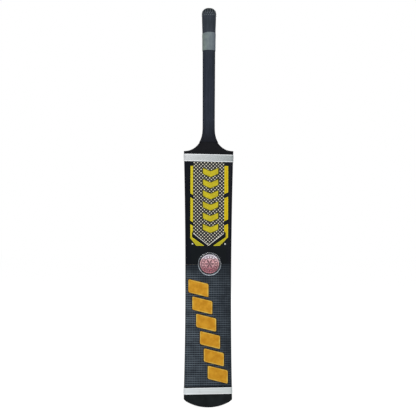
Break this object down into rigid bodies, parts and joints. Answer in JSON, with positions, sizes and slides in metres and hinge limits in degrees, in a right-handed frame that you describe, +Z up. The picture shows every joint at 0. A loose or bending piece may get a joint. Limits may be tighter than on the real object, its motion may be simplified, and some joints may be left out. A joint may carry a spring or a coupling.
{
  "type": "cricket bat",
  "caption": "Full-size tape ball cricket bat: ridged willow blade in taped face sheets, V-spliced cane handle and a rubber sleeve grip.",
  "frame": {"origin": "the middle of the bat's box at the lowest point of its round toe, as the bat stands upright", "axes": "+Z up the bat from toe to grip, +X across the blade, -Y out of the striking face"},
  "size_m": [0.1104, 0.0516, 0.882],
  "materials": {
    "willow": "sanded and oiled",
    "cane": "sawn and planed",
    "strip_rubber": "matte",
    "binding_twine": "wound twine",
    "grip_rubber": "matte, finely stippled",
    "grey_band": "matte",
    "shoulder_film": "satin",
    "black_film": "glossy",
    "woven_film": "woven, satin",
    "toe_rubber": "satin",
    "white_tape": "fibre tape, satin",
    "checked_print": "small black and white checks, glossy",
    "yellow_vinyl": "glossy",
    "white_vinyl": "glossy",
    "golden_vinyl": "glossy",
    "badge_print": "printed paper",
    "clear_resin": "clear, glossy"
  },
  "bodies": {
    "root": {"blade": "willow", "cane_front_left": "cane", "cane_front_centre": "cane", "cane_front_right": "cane", "cane_middle_left": "cane", "cane_middle_centre": "cane", "cane_middle_right": "cane", "cane_back_left": "cane", "cane_back_centre": "cane", "cane_back_right": "cane", "rubber_strip_front": "strip_rubber", "rubber_strip_back": "strip_rubber", "handle_binding": "binding_twine", "grip": "grip_rubber", "grip_band": "grey_band", "shoulder_wrap": "shoulder_film", "upper_sheet": "black_film", "lower_sheet": "woven_film", "toe_cover": "toe_rubber", "top_tape": "white_tape", "toe_tape": "white_tape", "checked_panel": "checked_print", "left_bar_1": "yellow_vinyl", "left_bar_2": "yellow_vinyl", "left_bar_3": "yellow_vinyl", "right_bar_1": "yellow_vinyl", "right_bar_2": "yellow_vinyl", "right_bar_3": "yellow_vinyl", "panel_chevron_1": "yellow_vinyl", "panel_chevron_2": "yellow_vinyl", "panel_chevron_3": "yellow_vinyl", "panel_chevron_4": "yellow_vinyl", "panel_chevron_5": "yellow_vinyl", "panel_chevron_6": "yellow_vinyl", "left_dot": "white_vinyl", "right_dot": "white_vinyl", "slanted_bar_1": "golden_vinyl", "slanted_bar_2": "golden_vinyl", "slanted_bar_3": "golden_vinyl", "slanted_bar_4": "golden_vinyl", "slanted_bar_5": "golden_vinyl", "slanted_bar_6": "golden_vinyl", "badge_base": "black_film", "badge_print": "badge_print", "badge_dome": "clear_resin"}
  },
  "joints": []
}
